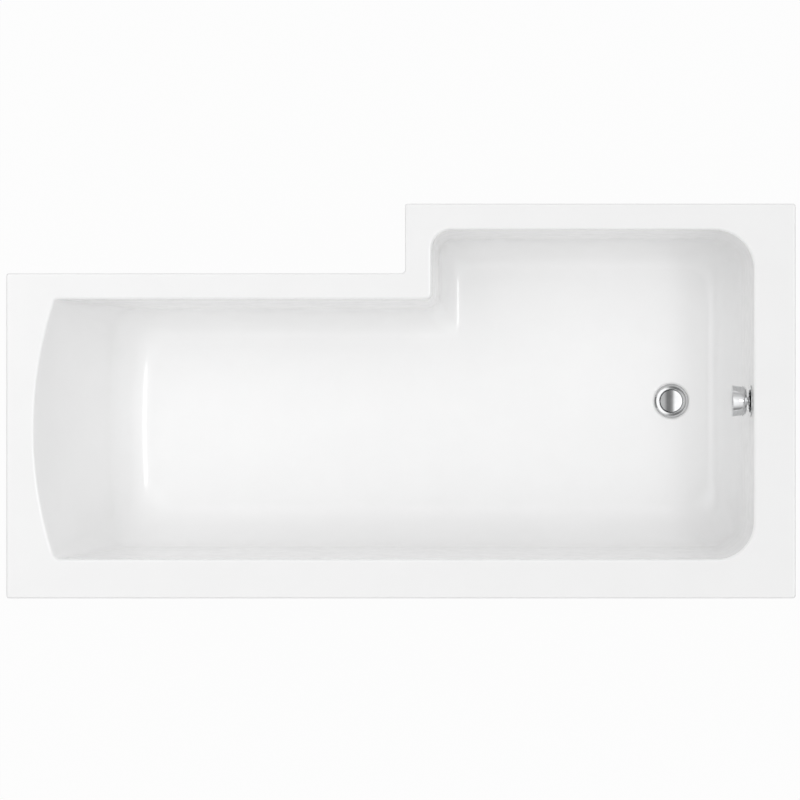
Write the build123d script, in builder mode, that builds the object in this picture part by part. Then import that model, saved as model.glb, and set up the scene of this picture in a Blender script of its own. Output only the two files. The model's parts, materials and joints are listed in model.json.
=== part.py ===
from build123d import *
import math
import os

# An L-shaped acrylic shower bath with its reinforcement, its leg set, its wall brackets and a
# pop-up waste that a knob on the overflow works through a cable.
# X runs from the head end to the waste end, Y from the wall to the front with the step in it,
# and Z up. The origin is on the floor, at the middle of the bath's outline.

os.makedirs("parts", exist_ok=True)

# Overall sizes
bath_length = 1700.0
shower_end_width = 850.0
head_end_width = 700.0
head_end_length = 859.0
rim_height = 540.0
bath_depth = 385.0
floor_fall = 0.4  # degrees, from the head end down to the waste

# Acrylic shell
wall = 5.0
lip_depth = 40.0
rim_corner_radius = 6.0
step_corner_radius = 9.0
rim_edge_radius = 4.0
basin_edge_radius = 7.0

# Flat rim around the basin, measured at each side's middle
wall_rim_width = 84.0
tap_rim_width = 90.0
front_rim_width = 56.0
step_rim_width = 57.0
narrow_rim_width = 56.0
head_rim_width = 58.0
head_bow = 45.0

# How far each basin wall leans in, then the reach and height of its cove into the floor
wall_lean = 36.0
wall_cove = (90.0, 110.0)
tap_lean = 32.0
tap_cove = (66.0, 150.0)
front_lean = 24.0
front_cove = (66.0, 80.0)
step_lean = 20.0
step_cove = (44.0, 60.0)
backrest_lean = 190.0
backrest_cove = (60.0, 60.0)
floor_bow = 12.0

# Basin corner radii at the rim and at the floor
wall_head_corner = (20.0, 75.0)
wall_tap_corner = (80.0, 66.0)
front_tap_corner = (86.0, 62.0)
front_step_corner = (42.0, 32.0)
step_narrow_corner = (14.0, 32.0)
narrow_head_corner = (9.0, 75.0)
upper_levels = (0.0, 0.03, 0.1, 0.25, 0.43)
cove_level_count = 10

# Fits
seat_gap = 0.3
slide_clearance = 0.1
hole_clearance = 0.5

# Glass-fibre backing and base board
backing_thickness = 3.0
backing_bed = 1.5
board_thickness = 15.0
board_margin = 8.0
board_corner_radius = 25.0

# Timber battens under the rim
batten_width = 25.0
batten_setback = 3.0
batten_joint_gap = 2.0
batten_chamfer = 1.5

# Leg bars and feet
bar_width = 40.0
bar_height = 25.0
bar_steel = 2.0
bar_bend_radius = 3.0
bar_setback = 62.0
bar_from_board_end = 95.0
bar_from_step = 30.0
stud_from_bar_end = 22.0
stud_radius = 5.0
stud_above_bar = 40.0
stud_chamfer = 1.0
nut_across_flats = 17.0
nut_height = 8.0
pad_radius = 28.0
pad_base_height = 6.0
pad_chamfer = 2.0
pad_neck_height = 24.0
pad_neck_across_flats = 22.0
pad_socket_floor = 8.0

# Wood screws and wall brackets
screw_radius = 2.1
screw_bite = 12.0
screw_head_radius = 4.5
screw_head_height = 2.6
pilot_clearance = 0.05
bar_screw_spread = 20.0
bar_screw_pitch = 120.0
bracket_width = 30.0
bracket_leaf = 42.0
bracket_drop = 45.0
bracket_steel = 2.0
bracket_bend_radius = 3.0
bracket_hole_radius = 2.75
bracket_hole_from_end = 14.0
wall_bracket_spacing = 1000.0
tap_bracket_spacing = 500.0

# Waste in the basin floor
drain_from_tap_end = 264.0
drain_hole_radius = 26.5
seat_radius = 40.0
seat_depth = 3.0
flange_radius = 37.0
flange_height = 3.4
flange_crown_radius = 32.5
flange_rim_height = 1.1
flange_rim_inset = 0.9
plug_bowl_radius = 26.6
plug_bowl_depth = 6.4
flange_tube_radius = 23.2
flange_bore_radius = 20.0
flange_tube_length = 22.0
top_seal_thickness = 1.5
web_depth = 10.0
web_thickness = 4.0
web_hub_radius = 6.0
web_spoke_width = 3.0
plug_radius = 23.6
plug_edge = 2.6
plug_crown = 1.4
plug_seal_thickness = 2.4
plug_stem_radius = 3.0
plug_stem_length = 33.6

# Waste body below the floor
bottom_seal_thickness = 3.0
bottom_seal_radius = 38.0
body_flange_radius = 40.0
body_flange_thickness = 4.0
body_wall = 3.0
body_chamber_radius = 30.0
body_chamber_top = 20.0
body_chamber_bottom = 58.0
body_floor = 4.0
outlet_radius = 23.9
outlet_bore_radius = 20.5
outlet_length = 22.0
inlet_depth = 39.0
lever_pivot_offset = 18.0
lever_pivot_depth = 40.0
lever_tip_radius = 3.2
lever_tip_gap = 0.5
lever_hub_radius = 4.5
lever_width = 6.0
lever_crank = 9.0
lever_hub_length = 16.0
lever_pin_radius = 2.0

# Overflow in the wall at the tap end
overflow_depth = 68.0
overflow_hole_radius = 26.5
cover_radius = 34.5
cover_edge = 1.6
cover_height = 5.0
cover_land_radius = 25.0
cover_tube_radius = 21.8
cover_bore_radius = 19.0
cover_tube_length = 20.0
cover_hub_radius = 8.0
cover_hub_height = 4.0
gasket_radius = 33.0
gasket_thickness = 3.0
knob_radius = 33.8
knob_back = 11.0
knob_taper = 9.0
knob_taper_radius = 27.0
knob_length = 24.0
knob_dome = 1.5
knob_edge_radius = 1.6
knob_hub_radius = 9.0
knob_hub_gap = 1.5
knob_bore_depth = 12.0
knob_wall = 3.0
spindle_radius = 4.0
drum_radius = 14.0
drum_width = 8.0
drum_groove = 3.0
drum_gap = 2.0

# Overflow elbow behind the wall, hose and cable
elbow_radius = 29.0
elbow_flange_radius = 33.0
elbow_flange_thickness = 4.0
elbow_neck_depth = 20.0
elbow_back_depth = 42.0
elbow_outlet_depth = 30.0
spigot_radius = 12.8
spigot_bore_radius = 10.5
spigot_reach = 26.0
hose_bore_radius = 13.0
hose_wall_radius = 15.0
hose_rib_radius = 17.0
hose_cuff_radius = 16.0
hose_cuff_length = 30.0
hose_bend_radius = 80.0
rib_count = 22
hose_nut_radius = 20.0
hose_nut_length = 15.0
hose_nut_grips = 12
hose_nut_grip_radius = 1.7
cable_radius = 2.5
cable_offset = 26.0
gland_radius = 4.5
gland_reach = 32.0
waste_gland_reach = 42.0
gland_socket = 10.0

# Places that follow from the sizes
head_x = -bath_length / 2
tap_x = bath_length / 2
wall_y = -shower_end_width / 2
front_y = shower_end_width / 2
narrow_y = wall_y + head_end_width
step_x = head_x + head_end_length
rim_underside = rim_height - wall
lip_bottom = rim_height - lip_depth
drain_x = tap_x - drain_from_tap_end
floor_level = rim_height - bath_depth
drain_seat = floor_level - seat_depth
shell_to_backing = wall + seat_gap
backing_bottom = floor_level - shell_to_backing - backing_thickness - backing_bed
board_bottom = backing_bottom - board_thickness
bar_bottom = board_bottom - bar_height
batten_bottom = lip_bottom - hole_clearance


def wall_inset(share, lean, cove):
    """How far a basin wall has come in from the rim at a share of the depth."""
    cove_reach, cove_height = cove
    into_cove = max(0.0, 1 - bath_depth * (1 - share) / cove_height)
    return lean * share + cove_reach * (1 - math.sqrt(max(0.0, 1 - into_cove**2)))


def basin_sides(share, grow=0.0):
    """Where the six sides of the basin lie at a share of the depth, grown outwards."""
    wall_run = wall_inset(share, wall_lean, wall_cove)
    tap_run = wall_inset(share, tap_lean, tap_cove)
    front_run = wall_inset(share, front_lean, front_cove)
    step_run = wall_inset(share, step_lean, step_cove)
    head_run = wall_inset(share, backrest_lean, backrest_cove)
    return {
        "wall": wall_y + wall_rim_width + wall_run - grow,
        "tap": tap_x - tap_rim_width - tap_run + grow,
        "front": front_y - front_rim_width - front_run + grow,
        "step": step_x + step_rim_width + step_run - grow,
        "narrow": narrow_y - narrow_rim_width - front_run + grow,
        "head": head_x + head_rim_width + head_run - grow,
        "bow": head_bow + (floor_bow - head_bow) * share,
    }


def corner_radius(radii, share, grow):
    """A corner's radius at a share of the depth, between its rim and floor radii."""
    at_rim, at_floor = radii
    return max(at_rim + (at_floor - at_rim) * share + grow, wall / 2)


def basin_section(share, level, tilt, grow):
    """The basin's outline at a share of its depth, on a plane that leans with the floor."""
    sides = basin_sides(share, grow)
    head_corner_x = sides["head"] + sides["bow"]
    corners = [
        (head_corner_x, sides["wall"], corner_radius(wall_head_corner, share, grow)),
        (sides["tap"], sides["wall"], corner_radius(wall_tap_corner, share, grow)),
        (sides["tap"], sides["front"], corner_radius(front_tap_corner, share, grow)),
        (sides["step"], sides["front"], corner_radius(front_step_corner, share, grow)),
        (sides["step"], sides["narrow"], corner_radius(step_narrow_corner, share, -grow)),
        (head_corner_x, sides["narrow"], corner_radius(narrow_head_corner, share, grow)),
    ]
    points = [(x - drain_x, y) for x, y, _ in corners]
    bow_middle = (sides["head"] - drain_x, (sides["wall"] + sides["narrow"]) / 2)
    section_plane = Plane(
        origin=(drain_x, 0, level),
        x_dir=(math.cos(tilt), 0, -math.sin(tilt)),
        z_dir=(math.sin(tilt), 0, math.cos(tilt)),
    )
    with BuildSketch(section_plane) as section:
        with BuildLine():
            Polyline(*points)
            ThreePointArc(points[-1], bow_middle, points[0])
        make_face()
        for point, (_, _, radius) in zip(points, corners):
            corner = section.sketch_local.vertices().sort_by_distance(point)[0]
            fillet(corner, radius)
    return section.sketch


def basin_form(grow, level_floor=False):
    """The basin as a solid, grown outwards, with its floor falling to the waste or level."""
    sections = []
    depth = bath_depth + grow + (backing_bed if level_floor else 0)
    tallest_cove = max(height for _, height in (wall_cove, tap_cove, front_cove, step_cove, backrest_cove))
    turns = [math.pi / 2 * level / cove_level_count for level in range(cove_level_count + 1)]
    cove_levels = [1 - tallest_cove * (1 - math.sin(turn)) / bath_depth for turn in turns]
    for share in [*upper_levels, *cove_levels]:
        tilt = 0 if level_floor else math.radians(floor_fall) * share
        sections.append(basin_section(share, rim_height - depth * share, tilt, grow))
    with BuildPart() as form:
        loft(sections=sections)
    return form.part


def rim_outline():
    """The L-shaped outline of the bath, with its corners still square."""
    Polyline(
        (head_x, wall_y),
        (tap_x, wall_y),
        (tap_x, front_y),
        (step_x, front_y),
        (step_x, narrow_y),
        (head_x, narrow_y),
        close=True,
    )


def finish_part(part, name):
    """Names a finished piece and writes it."""
    part.label = name
    export_step(part, f"parts/{name}.step")


cavity_form = basin_form(0)
shell_form = basin_form(wall)
backing_inner_form = basin_form(shell_to_backing)
backing_outer_form = basin_form(shell_to_backing + backing_thickness, level_floor=True)

# The overflow sits square on the leaning wall at the tap end
overflow_share = overflow_depth / bath_depth
overflow_x = basin_sides(overflow_share)["tap"]
probe_step = 0.01
overflow_lean = math.atan(
    (basin_sides(overflow_share - probe_step)["tap"] - basin_sides(overflow_share + probe_step)["tap"])
    / (2 * probe_step * bath_depth)
)
overflow_origin = Vector(overflow_x, 0, rim_height - overflow_depth)
overflow_out = Vector(-math.cos(overflow_lean), 0, math.sin(overflow_lean))
overflow_up = Vector(math.sin(overflow_lean), 0, math.cos(overflow_lean))
overflow_face = Plane(origin=overflow_origin, x_dir=(0, -1, 0), z_dir=overflow_out)
overflow_section = Plane(origin=overflow_origin, x_dir=overflow_up, z_dir=(0, -1, 0))
overflow_axis = Axis(overflow_origin, overflow_out)
drain_seat_plane = Plane.XY.offset(drain_seat).shift_origin((drain_x, 0, drain_seat))
drain_section = Plane(origin=(drain_x, 0, drain_seat), x_dir=(1, 0, 0), z_dir=(0, -1, 0))
drain_axis = Axis((drain_x, 0, drain_seat), (0, 0, 1))

# Acrylic shell: rim with its turned-down lip, basin, waste seat and the two plumbing holes
with BuildPart() as bath_shell:
    with BuildSketch(Plane.XY.offset(rim_height)):
        with BuildLine():
            rim_outline()
        make_face()
    extrude(amount=-lip_depth)
    inner_corner = (step_x, narrow_y, rim_height - lip_depth / 2)
    outer_corners = bath_shell.edges().filter_by(Axis.Z).sort_by_distance(inner_corner)[1:]
    fillet(outer_corners, rim_corner_radius)
    fillet(bath_shell.edges().filter_by(Axis.Z).sort_by_distance(inner_corner)[0], step_corner_radius)
    fillet(bath_shell.faces().sort_by(Axis.Z)[-1].outer_wire().edges(), rim_edge_radius)
    offset(amount=-wall, openings=bath_shell.faces().sort_by(Axis.Z)[0])
    add(shell_form)
    with BuildSketch(Plane.XY.offset(drain_seat - wall)):
        with Locations((drain_x, 0)):
            Circle(seat_radius + wall)
    extrude(amount=seat_depth + wall)
    add(cavity_form, mode=Mode.SUBTRACT)
    with BuildSketch(drain_seat_plane):
        Circle(seat_radius)
    extrude(amount=seat_depth + wall, mode=Mode.SUBTRACT)
    with BuildSketch(drain_seat_plane):
        Circle(drain_hole_radius)
    extrude(amount=-2 * wall, mode=Mode.SUBTRACT)
    with BuildSketch(overflow_face.offset(2 * wall)):
        Circle(overflow_hole_radius)
    extrude(amount=-4 * wall, mode=Mode.SUBTRACT)
    rim_top = bath_shell.faces().filter_by(Plane.XY).sort_by(Axis.Z)[-1]
    fillet(rim_top.inner_wires()[0].edges(), basin_edge_radius)
finish_part(bath_shell.part, "bath_shell")

# Glass-fibre backing sprayed on the basin, left bare round the two plumbing holes
with BuildPart() as glassfibre_backing:
    add(backing_outer_form)
    add(backing_inner_form, mode=Mode.SUBTRACT)
    with BuildSketch(Plane.XY.offset(rim_height + wall)):
        Rectangle(2 * bath_length, 2 * shower_end_width)
    extrude(amount=-(2 * wall + seat_gap), mode=Mode.SUBTRACT)
    with BuildSketch(drain_seat_plane.offset(wall)):
        Circle(seat_radius + 2 * wall + body_wall)
    extrude(amount=-(bath_depth / 4), mode=Mode.SUBTRACT)
    with BuildSketch(overflow_face.offset(wall)):
        Circle(elbow_flange_radius + body_wall)
    extrude(amount=-6 * wall, mode=Mode.SUBTRACT)
finish_part(glassfibre_backing.part, "glassfibre_backing")

# Base board under the floor, L-shaped like the floor, stopping short of the waste
floor_sides = basin_sides(1.0)
board_head_x = floor_sides["head"] + floor_bow + board_margin
board_tap_x = drain_x - body_flange_radius - 2 * board_margin
board_wall_y = floor_sides["wall"] + board_margin
board_narrow_y = floor_sides["narrow"] - board_margin
board_front_y = floor_sides["front"] - board_margin
board_step_x = floor_sides["step"] + board_margin
head_bar_x = board_head_x + bar_from_board_end
shower_bar_x = board_tap_x - bar_from_board_end
middle_bar_x = step_x - bar_from_step
bars = {
    "head": (head_bar_x, narrow_y),
    "middle": (middle_bar_x, narrow_y),
    "shower": (shower_bar_x, front_y),
}


def bar_ends(front):
    """The two ends of a leg bar, along Y, for the front edge that it runs to."""
    return wall_y + bar_setback, front - bar_setback


def bar_screw_points(bar_x):
    """Two pairs of screws that hold a leg bar to the base board."""
    middle_y = (board_wall_y + board_narrow_y) / 2
    return [
        (bar_x + side * bar_screw_spread / 2, middle_y + end * bar_screw_pitch)
        for side in (-1, 1)
        for end in (-1, 1)
    ]


with BuildPart() as base_board:
    with BuildSketch(Plane.XY.offset(board_bottom)) as board_plan:
        with BuildLine():
            Polyline(
                (board_head_x, board_wall_y),
                (board_tap_x, board_wall_y),
                (board_tap_x, board_front_y),
                (board_step_x, board_front_y),
                (board_step_x, board_narrow_y),
                (board_head_x, board_narrow_y),
                close=True,
            )
        make_face()
        fillet(board_plan.vertices(), board_corner_radius)
    extrude(amount=board_thickness)
    for bar_x, _ in bars.values():
        with BuildSketch(Plane.XY.offset(board_bottom)):
            with Locations(*bar_screw_points(bar_x)):
                Circle(screw_radius + pilot_clearance)
        extrude(amount=screw_bite, mode=Mode.SUBTRACT)
finish_part(base_board.part, "base_board")

# Wall brackets: where each stands along its wall
wall_bracket_places = [-wall_bracket_spacing / 2, wall_bracket_spacing / 2]
tap_bracket_places = [-tap_bracket_spacing / 2, tap_bracket_spacing / 2]
bracket_screw_inset = wall + batten_setback + batten_width / 2

# Timber battens under the rim: (low X, high X, low Y, high Y)
batten_out = wall + batten_setback
batten_in = batten_out + batten_width
batten_end = batten_in + batten_joint_gap
battens = {
    "rim_batten_wall": (head_x + batten_out, tap_x - batten_out, wall_y + batten_out, wall_y + batten_in),
    "rim_batten_tap": (tap_x - batten_in, tap_x - batten_out, wall_y + batten_end, front_y - batten_end),
    "rim_batten_front": (step_x + batten_out, tap_x - batten_out, front_y - batten_in, front_y - batten_out),
    "rim_batten_step": (step_x + batten_out, step_x + batten_in, narrow_y - batten_in, front_y - batten_end),
    "rim_batten_narrow": (
        head_x + batten_out,
        step_x + batten_out - batten_joint_gap,
        narrow_y - batten_in,
        narrow_y - batten_out,
    ),
    "rim_batten_head": (head_x + batten_out, head_x + batten_in, wall_y + batten_end, narrow_y - batten_end),
}
batten_screws = {
    "rim_batten_wall": [(x, wall_y + bracket_screw_inset) for x in wall_bracket_places],
    "rim_batten_tap": [(tap_x - bracket_screw_inset, y) for y in tap_bracket_places],
}
for name, (low_x, high_x, low_y, high_y) in battens.items():
    with BuildPart() as rim_batten:
        with BuildSketch(Plane.XY.offset(batten_bottom)):
            with Locations(((low_x + high_x) / 2, (low_y + high_y) / 2)):
                Rectangle(high_x - low_x, high_y - low_y)
        extrude(amount=rim_underside - batten_bottom)
        chamfer(rim_batten.faces().sort_by(Axis.Z)[0].edges(), batten_chamfer)
        if name in batten_screws:
            with BuildSketch(Plane.XY.offset(batten_bottom)):
                with Locations(*batten_screws[name]):
                    Circle(screw_radius + pilot_clearance)
            extrude(amount=screw_bite, mode=Mode.SUBTRACT)
    finish_part(rim_batten.part, name)


def bracket_profile(plane):
    """An angle bracket's cross-section: one leaf under the batten, one down the wall."""
    with BuildSketch(plane) as profile:
        with BuildLine():
            Polyline(
                (0, 0),
                (bracket_leaf, 0),
                (bracket_leaf, -bracket_steel),
                (bracket_steel, -bracket_steel),
                (bracket_steel, -bracket_drop),
                (0, -bracket_drop),
                close=True,
            )
        make_face()
        outside = profile.sketch_local.vertices().sort_by_distance((0, 0))[0]
        fillet(outside, bracket_bend_radius)
        inside = profile.sketch_local.vertices().sort_by_distance((bracket_steel, -bracket_steel))[0]
        fillet(inside, bracket_bend_radius - bracket_steel)
    return profile.sketch


def wall_bracket(edge_point, inward, name):
    """One angle bracket on a wall: edge_point lies on the wall under the lip, inward points to the bath."""
    section = Plane(origin=edge_point, x_dir=inward, z_dir=inward.cross(Vector(0, 0, 1)))
    with BuildPart() as bracket:
        extrude(bracket_profile(section), amount=bracket_width / 2, both=True)
        screw_hole = edge_point + inward * bracket_screw_inset
        with BuildSketch(Plane(origin=screw_hole, z_dir=(0, 0, 1))):
            Circle(screw_radius + hole_clearance)
        extrude(amount=-2 * bracket_steel, mode=Mode.SUBTRACT)
        wall_hole = edge_point - Vector(0, 0, bracket_drop - bracket_hole_from_end)
        with BuildSketch(Plane(origin=wall_hole, z_dir=inward)):
            Circle(bracket_hole_radius)
        extrude(amount=2 * bracket_steel, mode=Mode.SUBTRACT)
    finish_part(bracket.part, name)


for number, x in enumerate(wall_bracket_places, 1):
    wall_bracket(Vector(x, wall_y, batten_bottom), Vector(0, 1, 0), f"wall_bracket_{number}")
for number, y in enumerate(tap_bracket_places, 1):
    wall_bracket(Vector(tap_x, y, batten_bottom), Vector(-1, 0, 0), f"tap_bracket_{number}")


def wood_screws(points, under, steel, name):
    """Pan-headed screws driven upwards through sheet steel, with their heads under its lower face."""
    with BuildPart() as screws:
        with BuildSketch(Plane.XY.offset(under)):
            with Locations(*points):
                Circle(screw_radius)
        extrude(amount=steel + screw_bite - hole_clearance)
        with BuildSketch(Plane.XY.offset(under)):
            with Locations(*points):
                Circle(screw_head_radius)
        extrude(amount=-screw_head_height)
    finish_part(screws.part, name)


bracket_screw_points = batten_screws["rim_batten_wall"] + batten_screws["rim_batten_tap"]
wood_screws(bracket_screw_points, batten_bottom - bracket_steel, bracket_steel, "bracket_screws")
all_bar_screw_points = [point for bar_x, _ in bars.values() for point in bar_screw_points(bar_x)]
wood_screws(all_bar_screw_points, board_bottom - bar_steel, bar_steel, "bar_screws")

# Leg bars: pressed channels across the bath, open below
for name, (bar_x, front) in bars.items():
    low_y, high_y = bar_ends(front)
    channel_plane = Plane(origin=(bar_x, low_y, board_bottom), x_dir=(1, 0, 0), z_dir=(0, 1, 0))
    with BuildPart() as leg_bar:
        with BuildSketch(channel_plane) as channel:
            with Locations((0, bar_height / 2)):
                Rectangle(bar_width, bar_height)
            fillet(channel.vertices().group_by(Axis.Y)[0], bar_bend_radius)
            with Locations((0, bar_height / 2 + bar_steel)):
                Rectangle(bar_width - 2 * bar_steel, bar_height, mode=Mode.SUBTRACT)
        extrude(amount=high_y - low_y)
        with BuildSketch(Plane.XY.offset(board_bottom)):
            with Locations((bar_x, low_y + stud_from_bar_end), (bar_x, high_y - stud_from_bar_end)):
                Circle(stud_radius + hole_clearance)
            with Locations(*bar_screw_points(bar_x)):
                Circle(screw_radius + hole_clearance)
        extrude(amount=-2 * bar_steel, mode=Mode.SUBTRACT)
    finish_part(leg_bar.part, f"leg_bar_{name}")

# Adjustable feet: a threaded stud and a pad on each end of each bar
foot_places = []
for bar_x, front in bars.values():
    low_y, high_y = bar_ends(front)
    foot_places += [(bar_x, low_y + stud_from_bar_end), (bar_x, high_y - stud_from_bar_end)]

for number, (foot_x, foot_y) in enumerate(foot_places, 1):
    with BuildPart() as foot_stud:
        with BuildSketch(Plane.XY.offset(pad_socket_floor)):
            with Locations((foot_x, foot_y)):
                Circle(stud_radius)
        extrude(amount=board_bottom + stud_above_bar - pad_socket_floor)
        chamfer(foot_stud.faces().sort_by(Axis.Z)[-1].edges(), stud_chamfer)
    finish_part(foot_stud.part, f"foot_stud_{number}")
    with BuildPart() as foot_pad:
        with BuildSketch(Plane.XY):
            with Locations((foot_x, foot_y)):
                Circle(pad_radius)
        extrude(amount=pad_base_height)
        chamfer(foot_pad.faces().sort_by(Axis.Z)[-1].edges(), pad_chamfer)
        with BuildSketch(Plane.XY.offset(pad_base_height)):
            with Locations((foot_x, foot_y)):
                RegularPolygon(pad_neck_across_flats / 2, 6, major_radius=False)
        extrude(amount=pad_neck_height - pad_base_height)
        with BuildSketch(Plane.XY.offset(pad_socket_floor)):
            with Locations((foot_x, foot_y)):
                Circle(stud_radius + slide_clearance)
        extrude(amount=pad_neck_height, mode=Mode.SUBTRACT)
    finish_part(foot_pad.part, f"foot_pad_{number}")

with BuildPart() as leg_nuts:
    for nut_bottom in (board_bottom, board_bottom - bar_steel - nut_height):
        with BuildSketch(Plane.XY.offset(nut_bottom)):
            with Locations(*foot_places):
                RegularPolygon(nut_across_flats / 2, 6, major_radius=False)
                Circle(stud_radius + slide_clearance, mode=Mode.SUBTRACT)
        extrude(amount=nut_height)
finish_part(leg_nuts.part, "leg_nuts")


def half_outline(plane, *points):
    """Half the outline of a turned piece, each point a radius and a height on the plane."""
    with BuildSketch(plane) as outline:
        with BuildLine():
            Polyline(*points, close=True)
        make_face()
    return outline.sketch


def spoked_hub(plane, hub_radius, reach, bore_radius):
    """A hub on three spokes across a tube, with a bore for what slides or turns in it."""
    with BuildSketch(plane) as web:
        Circle(hub_radius)
        with PolarLocations(reach / 2, 3):
            Rectangle(reach, web_spoke_width)
        Circle(bore_radius, mode=Mode.SUBTRACT)
    return web.sketch


# Waste: flange in the floor with its seals
flange_bottom = top_seal_thickness
flange_top = flange_bottom + flange_height
bowl_bottom = flange_top - plug_bowl_depth
with BuildPart() as waste_flange:
    flange_outline = half_outline(
        drain_section,
        (flange_radius, flange_bottom),
        (flange_radius - flange_rim_inset, flange_bottom + flange_rim_height),
        (flange_crown_radius, flange_top),
        (plug_bowl_radius, flange_top),
        (flange_bore_radius, bowl_bottom),
        (flange_bore_radius, -flange_tube_length),
        (flange_tube_radius, -flange_tube_length),
        (flange_tube_radius, flange_bottom),
    )
    revolve(flange_outline, axis=drain_axis)
    stem_guide = spoked_hub(
        drain_seat_plane.offset(-web_depth),
        web_hub_radius,
        flange_bore_radius + slide_clearance,
        plug_stem_radius + slide_clearance,
    )
    extrude(stem_guide, amount=-web_thickness)
finish_part(waste_flange.part, "waste_flange")

with BuildPart() as waste_top_seal:
    with BuildSketch(drain_seat_plane):
        Circle(flange_radius - top_seal_thickness)
        Circle(drain_hole_radius, mode=Mode.SUBTRACT)
    extrude(amount=top_seal_thickness)
finish_part(waste_top_seal.part, "waste_top_seal")

body_top = -wall - bottom_seal_thickness
with BuildPart() as waste_bottom_seal:
    with BuildSketch(drain_seat_plane.offset(body_top)):
        Circle(bottom_seal_radius)
        Circle(drain_hole_radius, mode=Mode.SUBTRACT)
    extrude(amount=bottom_seal_thickness)
finish_part(waste_bottom_seal.part, "waste_bottom_seal")

# Pop-up plug: crowned cap, stem and seal ring
plug_under = flange_top - plug_edge
with BuildPart() as waste_plug:
    with BuildSketch(drain_section):
        with BuildLine():
            Polyline(
                (0, flange_top + plug_crown),
                (0, -plug_stem_length),
                (plug_stem_radius, -plug_stem_length),
                (plug_stem_radius, plug_under),
                (plug_radius, plug_under),
                (plug_radius, flange_top),
            )
            TangentArc((0, flange_top + plug_crown), (plug_radius, flange_top), tangent=(1, 0))
        make_face()
    revolve(axis=drain_axis)
finish_part(waste_plug.part, "waste_plug")

bowl_slope = (plug_bowl_radius - flange_bore_radius) / plug_bowl_depth
with BuildPart() as plug_seal:
    seal_outline = half_outline(
        drain_section,
        (plug_stem_radius + pilot_clearance, plug_under - plug_seal_thickness),
        (plug_radius - plug_seal_thickness * bowl_slope, plug_under - plug_seal_thickness),
        (plug_radius, plug_under),
        (plug_stem_radius + pilot_clearance, plug_under),
    )
    revolve(seal_outline, axis=drain_axis)
finish_part(plug_seal.part, "plug_seal")

# Waste body below the floor: chamber, outlet, hose spigot and cable gland
chamber_outer = body_chamber_radius + body_wall
body_bottom = -body_chamber_bottom - body_floor
inlet_plane = Plane(origin=(drain_x, 0, drain_seat - inlet_depth), z_dir=(1, 0, 0))
waste_gland_plane = Plane(origin=(drain_x, -cable_offset, drain_seat - inlet_depth), z_dir=(1, 0, 0))
pin_plane = Plane(origin=(drain_x + lever_pivot_offset, 0, drain_seat - lever_pivot_depth), z_dir=(0, 1, 0))
pin_reach = math.sqrt(body_chamber_radius**2 - lever_pivot_offset**2) + body_wall / 2
with BuildPart() as waste_body:
    body_outline = half_outline(
        drain_section,
        (0, body_top),
        (body_flange_radius, body_top),
        (body_flange_radius, body_top - body_flange_thickness),
        (chamber_outer, body_top - 2 * body_flange_thickness),
        (chamber_outer, body_bottom + body_floor / 2),
        (chamber_outer - body_floor / 2, body_bottom),
        (outlet_radius, body_bottom),
        (outlet_radius, body_bottom - outlet_length),
        (0, body_bottom - outlet_length),
    )
    revolve(body_outline, axis=drain_axis)
    with BuildSketch(inlet_plane):
        Circle(spigot_radius)
    extrude(amount=chamber_outer + spigot_reach)
    with BuildSketch(waste_gland_plane):
        Circle(gland_radius)
    extrude(amount=waste_gland_reach)
    chamber_outline = half_outline(
        drain_section,
        (0, body_top),
        (flange_tube_radius + slide_clearance, body_top),
        (flange_tube_radius + slide_clearance, -body_chamber_top),
        (body_chamber_radius, -body_chamber_top - body_wall),
        (body_chamber_radius, -body_chamber_bottom),
        (outlet_bore_radius, -body_chamber_bottom),
        (outlet_bore_radius, body_bottom - outlet_length),
        (0, body_bottom - outlet_length),
    )
    revolve(chamber_outline, axis=drain_axis, mode=Mode.SUBTRACT)
    with BuildSketch(inlet_plane):
        Circle(spigot_bore_radius)
    extrude(amount=chamber_outer + spigot_reach, mode=Mode.SUBTRACT)
    with BuildSketch(waste_gland_plane.offset(waste_gland_reach)):
        Circle(cable_radius + pilot_clearance)
    extrude(amount=-gland_socket, mode=Mode.SUBTRACT)
    with BuildSketch(pin_plane):
        Circle(lever_pin_radius + slide_clearance)
    extrude(amount=pin_reach + slide_clearance, both=True, mode=Mode.SUBTRACT)
finish_part(waste_body.part, "waste_body")

with BuildPart() as lever_pin:
    with BuildSketch(pin_plane):
        Circle(lever_pin_radius)
    extrude(amount=pin_reach, both=True)
finish_part(lever_pin.part, "lever_pin")

# Lift lever: a hub on the pin, an arm under the plug's stem and a crank that the cable pulls
lever_tip_depth = plug_stem_length + lever_tip_gap + lever_tip_radius
arm_rise = lever_pivot_depth - lever_tip_depth
with BuildPart() as lift_lever:
    with BuildSketch(drain_section.offset(-lever_width / 2)):
        with Locations((lever_pivot_offset / 2, arm_rise / 2 - lever_pivot_depth)):
            SlotCenterToCenter(
                math.hypot(lever_pivot_offset, arm_rise),
                2 * lever_tip_radius,
                rotation=-math.degrees(math.atan2(arm_rise, lever_pivot_offset)),
            )
    extrude(amount=lever_width)
    with BuildSketch(drain_section.offset(-lever_width / 2)):
        with Locations((lever_pivot_offset, -lever_pivot_depth)):
            Circle(lever_hub_radius)
    extrude(amount=lever_hub_length)
    with BuildSketch(drain_section.offset(lever_hub_length - lever_width / 2)):
        with Locations((lever_pivot_offset, lever_crank / 2 - lever_pivot_depth)):
            SlotCenterToCenter(lever_crank, 2 * lever_tip_radius, rotation=90)
    extrude(amount=-lever_width / 2)
    with BuildSketch(pin_plane):
        Circle(lever_pin_radius + slide_clearance)
    extrude(amount=pin_reach, both=True, mode=Mode.SUBTRACT)
finish_part(lift_lever.part, "lift_lever")

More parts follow.
